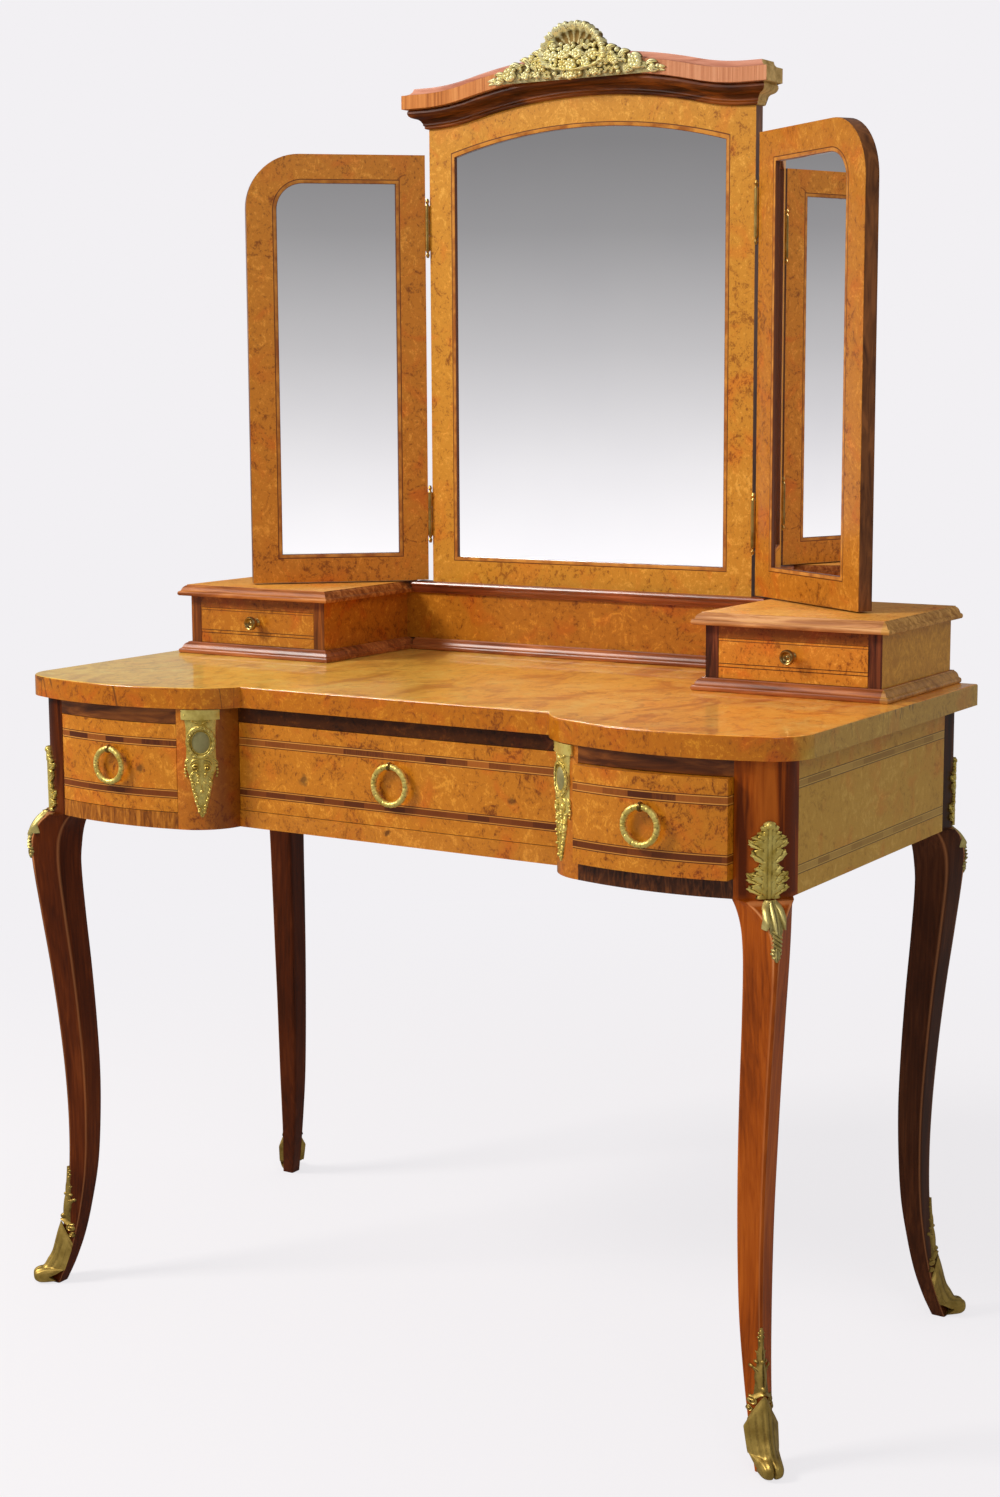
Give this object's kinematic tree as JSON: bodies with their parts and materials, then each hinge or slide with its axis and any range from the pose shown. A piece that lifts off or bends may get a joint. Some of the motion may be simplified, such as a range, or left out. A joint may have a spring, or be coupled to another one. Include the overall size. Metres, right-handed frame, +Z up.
{
  "type": "poudreuse dressing table",
  "caption": "Serpentine-front dressing table on cabriole legs with drawers, a gallery of small drawer boxes and a folding triple mirror, in burr veneer with gilt mounts.",
  "frame": {"origin": "on the floor, in the middle of the table top's width and depth", "axes": "+X to the viewer's right along the width, +Y from the front to the back, +Z up"},
  "size_m": [1.0346, 0.5479, 1.534],
  "materials": {
    "burr_veneer": "burr veneer under a high french polish",
    "mahogany": "polished mahogany",
    "secondary_wood": "plain secondary wood, unpolished",
    "oak_lining": "planed oak, waxed",
    "gilt_brass": "cast and gilded, softly worn",
    "aged_brass": "turned, aged",
    "hinge_brass": "satin, aged",
    "steel_screws": "dull steel",
    "silvered_glass": "old silvered plate"
  },
  "bodies": {
    "root": {"table_top": "burr_veneer", "front_left_leg": "mahogany", "front_right_leg": "mahogany", "back_left_leg": "mahogany", "back_right_leg": "mahogany", "acanthus_mounts": "gilt_brass", "knee_husks": "gilt_brass", "sabots": "gilt_brass", "plaques": "gilt_brass", "crest": "gilt_brass", "left_side_panel": "burr_veneer", "right_side_panel": "burr_veneer", "back_panel": "secondary_wood", "pedestal_rails": "mahogany", "centre_top_rail": "burr_veneer", "centre_lower_rail": "mahogany", "left_stile": "burr_veneer", "right_stile": "burr_veneer", "partitions": "secondary_wood", "drawer_runners": "secondary_wood", "gallery_plinths": "mahogany", "left_box_carcass": "mahogany", "right_box_carcass": "mahogany", "gallery_slabs": "mahogany", "gallery_panel": "burr_veneer", "gallery_moulding": "mahogany", "mirror_frame": "burr_veneer", "mirror_glass": "silvered_glass", "mirror_backboard": "secondary_wood", "cornice": "mahogany", "mirror_battens": "secondary_wood", "batten_screws": "steel_screws", "fixed_hinge_leaves": "hinge_brass", "hinge_pins": "hinge_brass"},
    "left_drawer": {"left_drawer_front": "burr_veneer", "left_drawer_box": "oak_lining", "left_pull_eye": "gilt_brass"},
    "left_ring": {"left_pull_ring": "gilt_brass"},
    "centre_drawer": {"centre_drawer_front": "burr_veneer", "centre_drawer_box": "oak_lining", "centre_pull_eye": "gilt_brass"},
    "centre_ring": {"centre_pull_ring": "gilt_brass"},
    "right_drawer": {"right_drawer_front": "burr_veneer", "right_drawer_box": "oak_lining", "right_pull_eye": "gilt_brass"},
    "right_ring": {"right_pull_ring": "gilt_brass"},
    "left_small_drawer": {"left_small_drawer_front": "burr_veneer", "left_small_drawer_box": "oak_lining", "left_knob": "aged_brass"},
    "left_wing": {"left_wing_frame": "burr_veneer", "left_wing_glass": "silvered_glass", "left_wing_backboard": "secondary_wood", "left_wing_leaves": "hinge_brass"},
    "right_small_drawer": {"right_small_drawer_front": "burr_veneer", "right_small_drawer_box": "oak_lining", "right_knob": "aged_brass"},
    "right_wing": {"right_wing_frame": "burr_veneer", "right_wing_glass": "silvered_glass", "right_wing_backboard": "secondary_wood", "right_wing_leaves": "hinge_brass"}
  },
  "joints": [
    {"name": "left_drawer_slide", "type": "slide", "parent": "root", "child": "left_drawer", "axis": [0, -1, 0], "range_m": [0, 0.28]},
    {"name": "left_ring_swing", "type": "hinge", "parent": "left_drawer", "child": "left_ring", "pos_m": [-0.3571, -0.251, 0.684], "axis": [-1, 0, 0], "range_deg": [-5, 150]},
    {"name": "centre_drawer_slide", "type": "slide", "parent": "root", "child": "centre_drawer", "axis": [0, -1, 0], "range_m": [0, 0.25]},
    {"name": "centre_ring_swing", "type": "hinge", "parent": "centre_drawer", "child": "centre_ring", "pos_m": [0, -0.1895, 0.684], "axis": [-1, 0, 0], "range_deg": [-5, 150]},
    {"name": "right_drawer_slide", "type": "slide", "parent": "root", "child": "right_drawer", "axis": [0, -1, 0], "range_m": [-0.012, 0.268]},
    {"name": "right_ring_swing", "type": "hinge", "parent": "right_drawer", "child": "right_ring", "pos_m": [0.3571, -0.263, 0.684], "axis": [-1, 0, 0], "range_deg": [-5, 150]},
    {"name": "left_small_drawer_slide", "type": "slide", "parent": "root", "child": "left_small_drawer", "axis": [0, -1, 0], "range_m": [0, 0.13]},
    {"name": "right_small_drawer_slide", "type": "slide", "parent": "root", "child": "right_small_drawer", "axis": [0, -1, 0], "range_m": [0, 0.13]},
    {"name": "left_wing_hinge", "type": "hinge", "parent": "root", "child": "left_wing", "pos_m": [-0.2323, 0.2405, 1.118], "axis": [0, 0, 1], "range_deg": [-43, 135]},
    {"name": "right_wing_hinge", "type": "hinge", "parent": "root", "child": "right_wing", "pos_m": [0.2323, 0.2405, 1.118], "axis": [0, 0, -1], "range_deg": [-34, 144]}
  ]
}
